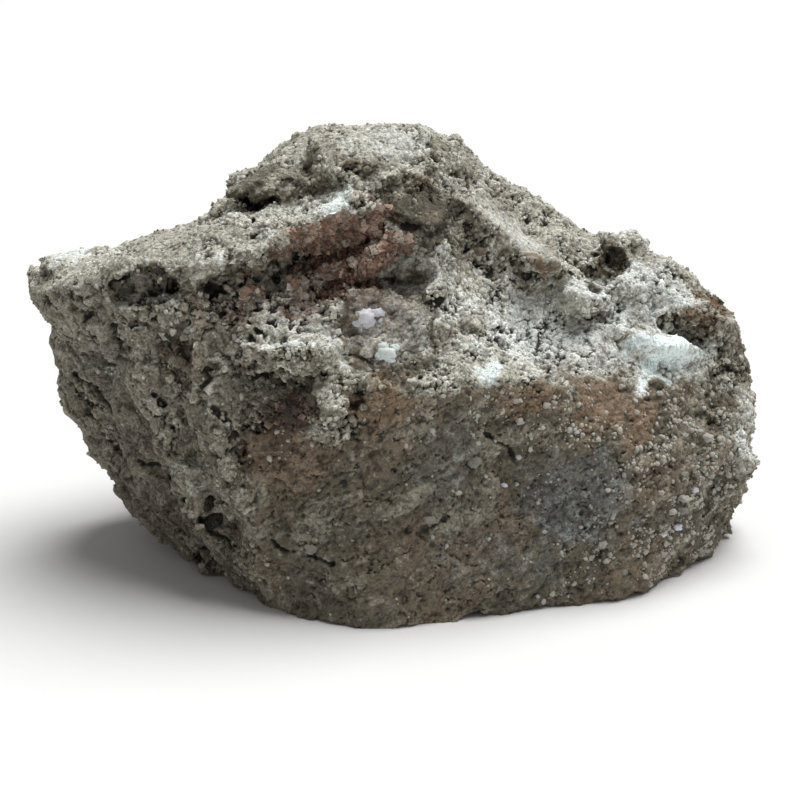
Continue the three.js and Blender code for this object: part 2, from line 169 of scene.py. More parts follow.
# Single nodules and blocks of each hue: where each sits on the front, along X and Z, and its width.
NODULES = {
    "white": [
        (67, 30.5, 2.4), (69.5, 29.5, 1.6), (61.5, 31.5, 1.5), (61, 19.5, 2.4), (58.5, 17.5, 1.4),
        (56, 22.5, 1.4), (67, 21, 1.8), (50, 11.5, 1.3), (28, 37.5, 1.3), (48, 42.5, 1.6),
        (56, 40.5, 1.4), (62.5, 41.5, 1.3), (31, 43.5, 1.5), (25.5, 40.5, 1.7), (55, 28.5, 1.1),
    ],
    "green": [
        (61, 17, 2.2), (61, 24.5, 1.7), (64, 24, 1.7), (70, 20, 1.9), (48, 6.5, 1.5), (-17, 16, 2.6),
        (7, 22, 2.4), (16, 33, 2.4),
    ],
    "lilac": [
        (64, 20.5, 1.7), (60, 13, 1.8), (56.5, 12.5, 1.7), (22.5, 27, 1.4), (-6.4, 62.6, 3.4),
        (-5.6, 60.9, 3.2), (-3.6, 62.6, 2.4), (-7.8, 61.4, 1.8), (-2.9, 60.8, 1.6),
    ],
    "bloom": [
        (-1.7, 55.8, 3.4), (-3.2, 55.2, 2.0), (-0.3, 56.3, 2.0), (-1.2, 54.4, 2.0), (-2.6, 57.0, 1.8),
    ],
    "brown": [(17.8, 69.2, 2.8), (42, 56.6, 2.2)],
    "orange": [(32.4, 63.4, 2.6)],
}


# Where the surface is pressed in or drawn out: the points that a stroke runs through, how far round
# them it is felt, and how far it goes, in millimetres.
STROKES = [
    # The lip, and the wall under it.
    ([(-37, -31, 68.5), (-29, -28, 70.5), (-19, -23.5, 73), (-11, -22.5, 75)], 4.2, (0, 2, -0.4)),
    (
        [(-58, -30, 66), (-39, -32.4, 73), (-30, -30.4, 75.6), (-19, -24.8, 78.6), (-10, -25, 81)],
        2,
        (0, -1.6, 0.5),
    ),
    ([(-10, -25, 81), (-8.5, -24, 83), (-7, -19.5, 86), (2, -12, 88.6)], 1.8, (0, -1.3, 0.5)),
    # The plateau and the nose.
    ([(-28, -22, 80), (-18, -21, 84), (-12, -20, 86)], 5, (0, 2.4, -1.6)),
    ([(-5, -24, 78), (-1, -23.5, 80)], 3.6, (0.5, 2.4, 0)),
    ([(3, -19, 83), (8, -20, 80)], 5.4, (0, -2.4, 0)),
    ([(-4.5, -18.5, 85.4), (2.6, -12, 88.4), (7, -13, 86.6), (10.5, -14, 83)], 2, (0, -1.8, 0.6)),
    ([(1, -22, 77.4), (8, -22, 77), (13, -15, 76.6)], 2, (0, 2.6, 0)),
    ([(-8, -25, 67.5), (-2, -25, 67)], 3, (0, 2.2, 0)),
    ([(13, -3, 86), (14, -8, 81), (14, -11, 75), (15, -12, 70)], 3.2, (0.2, 0.8, -0.3)),
    # The slab, and the clefts in the crest.
    ([(-38, -12, 80), (-36, -15, 79)], 5, (2, 1, -1)),
    ([(-33, -15, 80.8), (-28, -15.6, 81.2), (-21, -16, 82)], 1.6, (0.3, 2, 0)),
    ([(-33, -13.6, 83.6), (-27, -15, 84), (-21, -15, 84.6)], 2.6, (0, -2.4, -0.3)),
    ([(-32, -13, 85), (-26, -15.5, 86), (-20, -14, 87)], 2.4, (0, -1.2, 0.4)),
    ([(9, -10, 90), (11, -4, 92)], 2.4, (0, 1, -2)),
    ([(-17, -12, 87), (-14, -6, 92)], 3, (0, 2, -2.6)),
    # The tongue of crust, and the flakes above it.
    ([(-31, -37, 50), (-24, -37, 50.3), (-15, -38, 50)], 2.2, (0, 2.6, 0.3)),
    ([(-8, -40, 48), (-8.5, -42, 42)], 1.8, (0, 2.4, 0)),
    ([(-12.5, -42, 46), (-13, -43, 39)], 2.8, (0, -1.4, 0)),
    ([(-16, -35, 58), (-6, -34, 57)], 2.2, (0, -2, 0.8)),
    ([(-14, -36, 55), (-5, -35, 54.4)], 1.5, (0, 2, 0)),
    ([(-31, -38, 58), (-24, -39, 57.4)], 1.8, (0, -1.6, 0.8)),
    # The knob, and the pit beside it.
    ([(46, 1, 65), (48, 1, 64.4)], 3, (0.4, 3, -0.6)),
    ([(43, -2, 61.5), (49, -3, 61)], 4, (0, -2.4, 1)),
    ([(46.5, 9, 67.5), (51.5, 9, 66.5)], 5, (-0.3, -0.8, 2.2)),
    # The shoulder cavity.
    ([(57, 1, 52), (63, 2, 52.8), (70, 2, 51.2)], 5.2, (0, -4, 0)),
    ([(53, -11, 49.6), (60, -11.6, 49), (67, -5, 47)], 2.2, (0, -1.2, 0.8)),
    # The slope with its flake, block gap, furrow and pits.
    ([(28, -7.5, 67.3), (35, -7.5, 67)], 1.6, (0, -1.8, 0.6)),
    ([(27, -6.5, 64), (35, -6.5, 63.6)], 1.7, (0, 2, -0.6)),
    ([(38, -12, 56), (46, -10, 55.5)], 1.5, (0, 2.6, -0.6)),
    ([(22, -12, 61), (24, -21, 55), (22, -29, 53)], 2.2, (0, 1.6, -1.4)),
    ([(14, -27, 58), (30, -23, 52), (38, -20, 51)], 2, (0, 1.6, -1.2)),
    # A straw on the plateau, and the cracks, ridges and furrow of the left face.
    ([(-48, -20, 72.6), (-43, -26, 74), (-39, -31, 74)], 1.1, (0, 0, 1)),
    (
        [(-74, -1, 41), (-68, -7, 39), (-62, -12, 35), (-60, -13.5, 27), (-58, -14, 20)],
        1.7,
        (1.5, 1.5, 0.4),
    ),
    ([(-39, -37, 48), (-35, -39, 42), (-31, -39.5, 37), (-30, -40, 31)], 1.6, (1, 2.8, 0)),
    ([(-44, -33, 56), (-43, -33, 50)], 4, (0.6, 1.8, 0)),
    ([(-39, -34.5, 60), (-40, -35.5, 50), (-36, -37, 38), (-32, -39, 24)], 2.4, (-0.6, -1.7, 0)),
    ([(-54, -30, 58), (-51, -29, 46), (-45, -31, 32), (-40, -34, 18)], 2.6, (-0.9, -1.7, 0)),
    ([(-48, -32, 58), (-47, -31, 46), (-41, -34, 32), (-37, -36, 20)], 2, (0.8, 2, 0)),
    ([(-74, -8, 50), (-66, -15, 48), (-58, -21, 44)], 2.4, (-0.6, -1.2, 0.8)),
    # Pits under the lip, and gaps in the plateau.
    ([(-54, -31, 68.5), (-50, -32, 69.5)], 2, (0.4, 2.2, 0)),
    ([(-45, -33, 66.5), (-43, -33, 67)], 1.8, (0.4, 2, 0)),
    ([(-46, -20, 73), (-38, -24, 75)], 1.4, (0, 0.6, -2)),
    ([(-30, -20, 79), (-24, -19, 81)], 1.5, (0, 0.8, -2)),
    # The salt face.
    ([(-24, -42, 22), (-8, -44, 24), (8, -43, 28), (22, -39, 33)], 2.2, (0, -1.1, 0.4)),
    ([(6, -42, 20), (14, -41, 24), (22, -39, 31)], 1.3, (0, 1.5, 0)),
    ([(28, -38, 26), (38, -34, 22)], 7, (0, 1.3, 0)),
    ([(50, -28, 30), (58, -22, 30)], 5, (0.6, -1.2, 0)),
    ([(63, -17, 35), (68, -14, 33)], 3.4, (-0.6, 2.2, 0)),
    # The back.
    ([(-50, 30, 46), (-30, 41, 47), (-10, 45, 46)], 3, (0, 1.6, 1)),
    ([(-48, 32, 41), (-28, 42, 41), (-10, 45, 40)], 3, (0, -2.6, 0)),
    ([(6, 34, 68), (10, 40, 54), (8, 44, 42)], 2.2, (0, -2.6, 0)),
    ([(20, 41, 50), (36, 38, 46), (50, 30, 44)], 2.6, (0, 1.6, 0.8)),
]


# Thin cracks, pressed in and darkened by painted shade: the points that each runs through, and its width.
CRACKS = [
    (
        [
            (-73, -2, 40), (-68, -10, 41.5), (-65, -12.5, 40.5),
            (-61, -14.5, 35), (-62, -12, 29), (-60, -12.5, 25),
        ],
        1.3,
    ),
    ([(-37, -36, 44.5), (-33, -37.5, 41), (-32, -38, 38)], 1.3),
    ([(-38.5, -34.6, 53.4), (-37.7, -35.1, 50), (-39.5, -35.4, 47.5)], 1.2),
    ([(-53, -27.5, 52), (-50.7, -29, 50), (-51, -29.7, 46), (-47.4, -30.4, 43)], 1.1),
    ([(-49, -20.5, 22), (-43.5, -32.7, 22.4), (-39.6, -33.7, 18), (-34, -34, 12.3)], 1.2),
    ([(-62, -12, 29), (-57, -16, 25.3), (-51, -19, 25)], 1.1),
    ([(17, -37, 40), (23.6, -35, 35), (26, -35, 30)], 0.8),
    ([(-31, -38.4, 22), (-24, -41, 16), (-13, -43.7, 13)], 0.8),
    ([(20, 44, 50), (14, 46, 40), (18, 46, 30), (12, 46, 20)], 1.2),
    ([(-40, 36, 44), (-30, 42, 34), (-26, 44, 22)], 1.2),
]


def length(name, description, default):
    return FloatProperty(name=name, description=description, default=default, unit="LENGTH")


def tone(name, description, default):
    return FloatVectorProperty(name=name, description=description, default=default, subtype="COLOR")


class SaltSizes(bpy.types.PropertyGroup):
    """Sizes of the surface and of what grows on it."""

    cell: length(
        "Surface cell",
        "Width of one cell of the fine surface mesh",
        0.37 * MM,
    )
    lump: length("Crust lump", "Width of the coarse lumps that the crust is made of", 5.5 * MM)
    granule: length("Crust granule", "Width of the small granules that the crust is made of", 0.9 * MM)
    crumb: length("Crumb", "Middle width of the loose crumbs on the crust", 0.6 * MM)
    crystal: length("Crystal", "Middle width of the crystals in the red hollow", 1.15 * MM)
    popcorn: length("Popcorn", "Middle width of the round nodules on the bare salt", 0.46 * MM)


class SaltColours(bpy.types.PropertyGroup):
    """Colours of the stone and of the floor, as linear light."""

    # The light and dark crust are partly lit and shaded copies of the earthy crust: painted light where the
    # crust faces up, painted shade where it leans out or faces down.
    pale_lit_crust: tone("Light crust", "Crust that faces up, dusted pale", (0.585, 0.574, 0.492))
    earthy_crust: tone("Earthy crust", "Crust between light and dark", (0.3, 0.274, 0.214))
    dark_shaded_crust: tone("Dark crust", "Crust that leans out or faces down", (0.115, 0.099, 0.071))
    salt: tone("Bare salt", "Grey brown salt of the front face", (0.172, 0.134, 0.087))
    iron_red: tone("Iron red", "Reddish brown stain in the hollow under the lip", (0.275, 0.152, 0.105))
    orange: tone("Orange brown", "Warm stain under the brow", (0.245, 0.162, 0.095))
    blue_grey: tone("Blue grey", "Clear salt that looks cool and dark", (0.15, 0.158, 0.145))
    bloom: tone("Bloom", "Pale salt bloom with a touch of blue green", (0.74, 0.76, 0.71))
    floor: tone("Floor", "Plain studio floor", (0.86, 0.86, 0.86))


def sizes():
    return bpy.context.scene.salt_sizes


def colours():
    return bpy.context.scene.salt_colours


# Numbers over a surface


def smoothstep(low, high, value):
    share = np.clip((value - low) / (high - low), 0, 1)
    return share * share * (3 - 2 * share)


def spots(points, wavelength, seed):
    """The points in units of a wavelength, moved so that each seed gives its own pattern."""
    return (points / wavelength + seed * np.array([17.3, 5.1, 9.7])).tolist()


def rugged(points, wavelength, seed, octaves):
    """Noise with finer noise added to it, about -1 to 1."""
    made = (noise.fractal(p, 0.9, 2.1, octaves) for p in spots(points, wavelength, seed))
    return np.fromiter(made, float, len(points))


def cells(points, width, seed):
    """How far each point is from the middle of its cell and from the border, and its cell's own chance."""
    found = [noise.voronoi(p) for p in spots(points, width, seed)]
    near = np.array([distances[0] for distances, _ in found])
    border = np.array([distances[1] for distances, _ in found]) - near
    middle = np.array([middles[0][:] for _, middles in found])
    chance = np.sin(middle @ np.array([12.9898, 78.233, 37.719])) * 43758.5453 % 1
    return near, border, chance


def lumps(points, width, seed, depth):
    """Round lumps with gaps of a depth between them, about -1 to 1, the gaps, and each lump's chance."""
    near, border, chance = cells(points, width, seed)
    gap = smoothstep(0.17, 0.03, border) * smoothstep(-0.15, 0.35, rugged(points, 1.4 * width, seed + 1, 3))
    return 0.45 - 1.6 * near * near + 0.7 * (chance - 0.5) - depth * gap, gap, chance


def shifts(points, wavelength, seeds, octaves):
    """Noise along X, Y and Z, which takes the regular shape from a pattern when it moves the points."""
    return np.stack([rugged(points, wavelength, seed, octaves) for seed in seeds], axis=1)


def stretched(points, along, share):
    """The points squeezed along a direction, so that a pattern on them is drawn out along it."""
    along = np.array(along) / np.linalg.norm(along)
    return points - (1 - share) * (points @ along)[:, None] * along


# Meshes


def read(collection, field):
    values = np.empty(3 * len(collection), np.float32)
    collection.foreach_get(field, values)
    return values.reshape(-1, 3).astype(float)


def mesh_object(name, mesh):
    made = bpy.data.objects.new(name, mesh)
    bpy.context.scene.collection.objects.link(made)
    return made


def shaped_mesh(name, points, faces, smooth=True):
    """A mesh in metres from points in millimetres."""
    mesh = bpy.data.meshes.new(name)
    mesh.from_pydata((points * MM).tolist(), [], faces)
    mesh.polygons.foreach_set("use_smooth", np.full(len(faces), smooth))
    return mesh


def modified(mesh, *modifiers):
    """A new mesh made from this one by modifiers, each a type and its settings."""
    holder = mesh_object("modified", mesh)
    for kind, settings in modifiers:
        modifier = holder.modifiers.new(kind, kind)
        for setting, value in settings.items():
            setattr(modifier, setting, value)
    evaluated = holder.evaluated_get(bpy.context.evaluated_depsgraph_get())
    made = bpy.data.meshes.new_from_object(evaluated)
    bpy.data.objects.remove(holder)
    return made


def smooth_setting(rounds):
    return ("SMOOTH", {"factor": 0.5, "iterations": rounds})


class Surface:
    """A mesh that is shaped in steps, with its points and normals at hand in millimetres."""

    def __init__(self, mesh):
        self.mesh = mesh
        self.points = read(mesh.vertices, "co") / MM
        self.normals = read(mesh.vertex_normals, "vector")

    def push(self, distance):
        self.move(self.normals * distance[:, None])

    def move(self, offset):
        self.points = self.points + offset
        self.mesh.vertices.foreach_set("co", (self.points * MM).astype(np.float32).ravel())
        self.mesh.update()
        self.normals = read(self.mesh.vertex_normals, "vector")

    def smoothed(self, rounds):
        return Surface(modified(self.mesh, smooth_setting(rounds)))

    def height_over(self, rounds):
        """How far each point stands out of its surroundings."""
        return np.einsum("ij,ij->i", self.points - self.smoothed(rounds).points, self.normals)


def fine_cells(mesh, cell, rounds):
    return modified(mesh, ("REMESH", {"mode": "VOXEL", "voxel_size": cell}), smooth_setting(rounds))


def packed_copy():
    """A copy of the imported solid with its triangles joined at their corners."""
    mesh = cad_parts[NODE].data.copy()
    shape = bmesh.new()
    shape.from_mesh(mesh)
    bmesh.ops.remove_doubles(shape, verts=shape.verts, dist=0.01 * MM)
    shape.to_mesh(mesh)
    shape.free()
    return mesh


def distance_to_run(points, along):
    """How far each point is from a line through the points of a run."""
    along = np.array(along, float)
    nearest = np.full(len(points), np.inf)
    for first, last in zip(along, along[1:]):
        run = last - first
        share = np.clip((points - first) @ run / (run @ run), 0, 1)
        away = np.linalg.norm(points - first - share[:, None] * run, axis=1)
        nearest = np.minimum(nearest, away)
    return nearest


def ellipsoid(points, middle, spread):
    """How far out each point is, as a share of an ellipsoid's own size."""
    return np.linalg.norm((points - middle) / spread, axis=1)


def stain(points, patches):
    strength = np.zeros(len(points))
    for x, y, z, wide, deep, high, most in patches:
        out = ellipsoid(points, (x, y, z), (wide, deep, high))
        strength = np.maximum(strength, most * smoothstep(1.25, 0.6, out))
    return strength


def salt_share(points):
    """1 where the salt is bare and 0 on the crust."""
    x, y, z = points.T
    under_brow = np.interp(x, BROW_X, BROW_Z) - z
    before_crust = np.interp(x, FRONT_X, FRONT_Y) - y
    inside = np.minimum.reduce([x - SALT_LEFT, SALT_RIGHT - x, under_brow, before_crust])
    share = smoothstep(-1.4, 1.4, inside)
    for middle, spread in SALT_WINDOWS:
        share = np.maximum(share, smoothstep(1.08, 0.94, ellipsoid(points, middle, spread)))
    for middle, spread in CRUST_TONGUES:
        share = np.minimum(share, smoothstep(0.9, 1.06, ellipsoid(points, middle, spread)))
    return share


class Zones:
    """What the stone is made of at each point of a surface, and its light level, which is partly painted
    light and shade.
    """

    def __init__(self, surface, facing):
        points = surface.points
        self.warp = warp = shifts(points, 6, (1, 2, 3), 4)
        up = facing[:, 2]
        self.salt = salt_share(points + 3.2 * warp)
        self.crust = 1 - self.salt
        self.stains = {name: stain(points + 4.2 * warp, patches) for name, patches in STAINS.items()}
        self.red = np.minimum(self.stains["red"] * 1.4, 1) * self.crust
        self.calm = 1 - 0.85 * np.maximum(self.stains["pale"] * 0.6, self.stains["sleek"])
        self.rough = (0.22 + 0.78 * smoothstep(-0.15, 0.35, rugged(points, 9, 23, 3))) * self.calm
        x, _, z = points.T
        self.left = smoothstep(-26, -42, x) * smoothstep(0.62, 0.3, up) * self.crust
        self.upward = smoothstep(0.4, 0.75, up) * self.crust
        self.wall = self.crust - self.upward
        self.stains["red"] *= 1 - 0.9 * smoothstep(0.5, 0.72, up) * smoothstep(74, 77, z)
        # Painted light and shade, partly pale dust: the light level rises where the surface faces up and
        # falls where it faces down, and the left face is painted a little lighter.
        self.light = smoothstep(0.1, 0.75, up + 0.2 * warp[:, 0])
        self.light += self.stains["light"] - self.stains["dark"] + 0.25 * self.left


def sculpted():
    """The stone with its strokes, lumps, furrows and scallops, before its finer relief."""
    surface = Surface(fine_cells(packed_copy(), 0.7 * MM, 6))
    start = surface.points
    torn = start + 1.1 * shifts(start, 3.5, (31, 32, 33), 3)
    offset = np.zeros_like(start)
    for along, reach, by in STROKES:
        share = smoothstep(reach, reach * 0.35, distance_to_run(torn, along))
        offset += share[:, None] * np.array(by)
    surface.move(offset)

    zones = Zones(surface, surface.smoothed(20).normals)
    points = surface.points
    drawn = stretched(points + 2.2 * zones.warp, DOWN_THE_LEFT, 0.5)
    lump = sizes().lump / MM
    _, border, chance = cells(points + 2.2 * rugged(points, 4, 9, 3)[:, None], lump, 4)
    cobble = smoothstep(0.0, 0.35, border) - 0.75 + 0.9 * (chance - 0.5)
    slanted = stretched(points, SALT_LAYERS, 0.55)
    near, border, chance = cells(slanted + 1.8 * rugged(points, 6, 6, 3)[:, None], 9, 15)
    scallop = 1.7 * near * near - 0.4 + 0.8 * (chance - 0.5)
    coarse = (zones.wall - zones.left) * 0.6 * zones.rough * cobble
    coarse += zones.left * 2.1 * lumps(drawn, 8, 5, 0.5)[0]
    coarse += (zones.crust - zones.left * 0.6) * zones.calm * 0.85 * rugged(points, 8, 7, 5)
    coarse += zones.stains["blocks"] * 1.7 * lumps(points + zones.warp, 6.2, 40, 0.5)[0]
    coarse += zones.salt * scallop
    surface.push(coarse)
    return fine_cells(surface.mesh, sizes().cell, 2)


class Stone(Zones):
    """The finished outer surface, with what it is made of at each point, and its painted shade and
    highlight.
    """

    def __init__(self):
        surface = Surface(sculpted())
        self.facing = surface.smoothed(30).normals
        super().__init__(surface, self.facing)
        start = surface.points
        flat = stretched(start, CRUST_LAYERS, 0.5)
        drawn = stretched(start + 2.2 * self.warp, DOWN_THE_LEFT, 0.6)
        slanted = stretched(start, SALT_LAYERS, 0.5)

        # Flaky layers, chunks and pits on the crust, and broken steps on the salt.
        crust = self.crust * self.rough
        rough_left = self.left * self.rough
        layers = rugged(flat, 7, 16, 5) * 3
        terrace = np.floor(layers) + smoothstep(0.6, 0.95, layers % 1)
        _, border, chance = cells(flat + 1.5 * self.warp, 3, 8)
        chunk = smoothstep(0.0, 0.3, border) - 0.8 + 1.3 * (chance - 0.5)
        pore = smoothstep(0.2, 0.5, rugged(start, 2.3, 19, 4))
        middle = (crust - 0.8 * rough_left) * (0.5 * terrace + 0.42 * chunk - 0.8 * pore)
        rise, gap, chance = lumps(drawn, 4, 27, 0.7)
        uneven = 0.5 + 0.5 * smoothstep(-0.3, 0.3, rugged(start, 13, 62, 3))
        lumpy = self.left * 0.8 * uneven + (self.wall - self.left) * 0.36 * self.rough
        middle += lumpy * rise + self.left * 0.5 * rugged(start, 3.4, 63, 3)
        pit = self.stains["pitted"] * self.crust * smoothstep(0.08, 0.4, rugged(start, 2.1, 64, 3))
        middle -= 1.2 * pit
        gaps = [gap * lumpy, 0.6 * pit]
        open_crust = (self.crust - self.left) * (0.35 * self.calm + 0.65 * self.rough)
        open_crust *= smoothstep(-10, 24, start[:, 0])
        rise, gap, _ = lumps(start + 1.5 * self.warp, 2.9, 61, 0.7)
        middle += 0.55 * open_crust * rise
        gaps.append(0.8 * gap * open_crust)
        self.light += (chance - 0.5) * self.wall * 0.45
        torn = start + 0.8 * self.warp
        for along, width in CRACKS:
            crack = smoothstep(width, width * 0.3, distance_to_run(torn, along))
            middle -= 1.1 * crack
            gaps.append(0.8 * crack)
        layers = rugged(slanted, 7, 13, 5) * 5
        step = np.floor(layers) + smoothstep(0.6, 0.95, layers % 1)
        crease = np.abs(rugged(slanted, 5, 17, 4))
        middle += self.salt * (0.27 * step - 0.6 * smoothstep(0.04, 0.0, crease))
        middle += self.salt * self.calm * 0.42 * lumps(drawn, 2.6, 29, 0.5)[0]
        ragged = rugged(slanted, 6, 28, 5) + self.stains["scab"]
        self.scab = smoothstep(0.08, 0.5, ragged) * self.salt * self.calm
        surface.push(middle)

        # Granules, and the finest roughness.
        now = surface.points
        granule = sizes().granule / MM
        near, border, chance = cells(now + 0.6 * rugged(now, 1.1, 20, 2)[:, None], granule, 11)
        self.tint = chance
        dome = 0.5 - near + 0.7 * (chance - 0.5)
        patch = smoothstep(-0.15, 0.35, rugged(start, 6, 18, 3))
        rise, gap, _ = lumps(now + 0.9 * self.warp, 1.7, 52, 0.5)
        fine = (crust - 0.65 * rough_left) * (0.1 + 0.4 * patch) * rise
        fine += (crust - 0.75 * rough_left) * (0.28 - 0.14 * patch) * dome
        gaps.append(gap * (crust - 0.6 * rough_left) * patch * 0.7)
        fine += (self.crust - 0.93 * self.left) * (0.12 + 0.36 * self.rough) * rugged(now, 1.9, 14, 4)
        fine += self.red * self.calm * 0.4 * (smoothstep(0.0, 0.25, border) - 0.8 + 0.8 * (chance - 0.5))
        fine += self.salt * (0.24 * rugged(now, 1.8, 12, 4) + 0.12 * dome)
        fine += self.scab * (0.2 + 0.26 * dome)
        # On the salt the light level is its scabs less its dark patches, which are partly painted shade.
        self.light = self.light * self.crust + self.scab - self.stains["dark"] * self.salt
        surface.push(fine)

        # Painted shade and highlight, stored for the material: the cavity darkens recesses, gaps and
        # cracks, and the edge lightens tips and darkens fine pits, both less on the left face.
        less_left = 1 - 0.3 * self.left
        hollow = 0.7 * np.maximum.reduce(gaps) - surface.height_over(30)
        self.cavity = np.clip(hollow, -1, 1) * less_left * (0.6 + 0.4 * self.calm)
        self.edge = np.clip(surface.height_over(5) / 0.16, -1, 1) * less_left * (0.4 + 0.6 * self.calm)
        surface.move(np.clip(surface.points, LOW, HIGH) - surface.points)
        self.points = surface.points
        self.normals = surface.normals
        self.mesh = surface.mesh


@functools.cache
def stone():
    return Stone()


def finish_piece(name, mesh, material):
    """Links a finished mesh in metres as a piece of the stone."""
    mesh.materials.append(material)
    made = mesh_object(name, mesh)
    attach(made, "root")
    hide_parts(NODE)


def set_vectors(mesh, name, first, second, third):
    attribute = mesh.attributes.new(name, "FLOAT_VECTOR", "POINT")
    values = np.stack([first, second, third], axis=1).astype(np.float32)
    attribute.data.foreach_set("vector", values.ravel())


# The pieces of the surface, and where the seams between those of crust run, along X, X and Y.
ZONES = ["salt_face", "left_crust", "upper_crust", "slope_crust", "back_left_crust", "back_right_crust"]
SALT, LEFT, UPPER, SLOPE, BACK_LEFT, BACK_RIGHT = range(len(ZONES))
LEFT_SEAM = -41.5
SLOPE_SEAM = 10
BACK_SEAM = 14


def zones_of_faces(made, quads):
    """Which piece each face of the stone goes to."""
    middle = made.points[quads].mean(axis=1)
    salt = made.salt[quads].mean(axis=1)
    x, y, _ = middle.T
    zone = np.where(x > SLOPE_SEAM, SLOPE, UPPER)
    zone[x < LEFT_SEAM] = LEFT
    zone[y > BACK_SEAM] = np.where(x[y > BACK_SEAM] > 0, BACK_RIGHT, BACK_LEFT)
    zone[(salt > 0.5) & (y < 4)] = SALT
    return zone


def tidy_zones(zone, quads, count):
    """Gives any point where one zone would touch itself only at a corner to a single zone."""
    edges = np.sort(np.stack([quads, np.roll(quads, -1, axis=1)], axis=2).reshape(-1, 2), axis=1)
    face = np.repeat(np.arange(len(quads)), quads.shape[1])
    order = np.lexsort((edges[:, 1], edges[:, 0]))
    edges = edges[order]
    face = face[order]
    first = face[0::2]
    second = face[1::2]
    ends = edges[0::2]
    for _ in range(30):
        cut = zone[first] != zone[second]
        touched = np.bincount(ends[cut].ravel(), minlength=count)
        knots = np.flatnonzero(touched > 2)
        if not len(knots):
            break
        near = np.flatnonzero(np.isin(quads, knots).any(axis=1))
        lowest = np.full(count, len(ZONES))
        np.minimum.at(lowest, quads[near], zone[near][:, None])
        lowest[touched <= 2] = len(ZONES)
        zone[near] = np.minimum(zone[near], lowest[quads[near]].min(axis=1))
    return zone


def surface_piece(name, made, quads):
    """One zone of the surface, closed behind by a strip that dips under its rim and a fan to the heart."""
    used, local = np.unique(quads, return_inverse=True)
    local = local.reshape(quads.shape)
    edges = np.stack([local, np.roll(local, -1, axis=1)], axis=2).reshape(-1, 2)
    keys = edges[:, 0] * len(used) + edges[:, 1]
    back = edges[:, 1] * len(used) + edges[:, 0]
    rim = edges[~np.isin(keys, back)]
    on_rim, ends = np.unique(rim, return_inverse=True)
    ends = ends.reshape(rim.shape)
    dip = made.points[used[on_rim]] - DIP * made.facing[used[on_rim]]
    heart = len(used) + len(on_rim)
    faces = local.tolist()
    for (start, end), (dip_start, dip_end) in zip(rim.tolist(), (ends + len(used)).tolist()):
        faces.append((end, start, dip_start, dip_end))
        faces.append((dip_end, dip_start, heart))
    mesh = shaped_mesh(name, np.vstack([made.points[used], dip, HEART]), faces)
    hidden = len(on_rim) + 1

    def kept(values):
        return np.append(values[used], np.zeros(hidden))

    stains = made.stains
    set_vectors(mesh, "stains", kept(stains["red"]), kept(stains["orange"]), kept(stains["cool"]))
    set_vectors(mesh, "cover_and_light", kept(stains["pale"]), kept(made.light), kept(made.salt))
    set_vectors(mesh, "relief", kept(made.cavity), kept(made.tint), kept(made.edge))
    normals = np.vstack([made.normals[used], made.facing[used[on_rim]], [0, 0, 1]])
    mesh.normals_split_custom_set_from_vertices(normals.tolist())
    return mesh


# Things scattered over the surface


def template(make, jitter, variants, **settings):
    """Variants of one small closed shape: their corners and the faces that they share."""
    shape = bmesh.new()
    getattr(bmesh.ops, make)(shape, **settings)
    if make == "create_cube":
        bmesh.ops.bevel(
            shape, geom=shape.edges, offset=0.09, affect="EDGES", segments=1, profile=0.5, material=-1
        )
    corners = np.array([corner.co[:] for corner in shape.verts])
    faces = [[corner.index for corner in face.verts] for face in shape.faces]
    shape.free()
    chance = np.random.default_rng(len(corners))
    scale = 1 + jitter * chance.uniform(-1, 1, (variants, len(corners), 1))
    return corners * scale, faces


def scattered(
    name, kind, weights, count, size, seed, spread, squash, sink, tilt=0.5, most=1.1, smooth=True
):
    """One mesh of many small shapes set into the stone, thickest where the weights are highest."""
    made = stone()
    chance = np.random.default_rng(seed)
    odds = np.maximum(weights, 0)
    where = chance.choice(len(made.points), count, replace=False, p=odds / odds.sum())
    shapes, faces = kind
    grow = size / MM / 2 * np.exp(spread * chance.standard_normal(count))
    grow = np.clip(grow, 0.22 * size / MM, most * size / MM)
    lean = made.facing[where] + tilt * chance.standard_normal((count, 3))
    lean /= np.linalg.norm(lean, axis=1)[:, None]
    across = np.cross(lean, chance.standard_normal((count, 3)))
    across /= np.linalg.norm(across, axis=1)[:, None]
    aside = np.cross(lean, across)
    middle = made.points[where] + made.facing[where] * (grow * squash * (1 - 2 * sink))[:, None]
    own = shapes[chance.integers(len(shapes), size=count)]
    reach = grow[:, None] * chance.uniform(0.75, 1.25, (count, 2))
    axes = [across * reach[:, :1], aside * reach[:, 1:], lean * (grow * squash)[:, None]]
    points = middle[:, None] + own @ np.stack(axes, axis=1)
    inside = ((points >= LOW) & (points <= HIGH)).all(axis=(1, 2))
    points = points[inside]
    where = where[inside]
    corners = points.shape[1]
    flat = [[corner + corners * i for corner in face] for i in range(len(points)) for face in faces]
    mesh = shaped_mesh(name, points.reshape(-1, 3), flat, smooth)

    def each(values):
        return np.repeat(values, corners)

    tint = chance.uniform(-0.8, 1.6, len(points))
    # Crumbs are painted lighter than the ground on average, partly as painted light on raised grains, and
    # vary at random.
    light = made.light[where] + chance.uniform(-0.4, 1.1, len(points))
    fade = chance.uniform(0.35, 1, len(points))
    stains = [each(fade * made.stains[hue][where]) for hue in ("red", "orange", "cool")]
    set_vectors(mesh, "stains", *stains)
    set_vectors(mesh, "cover_and_light", each(made.stains["pale"][where]), each(light), each(made.salt[where]))
    zero = np.zeros(len(points) * corners)
    set_vectors(mesh, "relief", zero - 0.4, each(tint), zero)
    return mesh


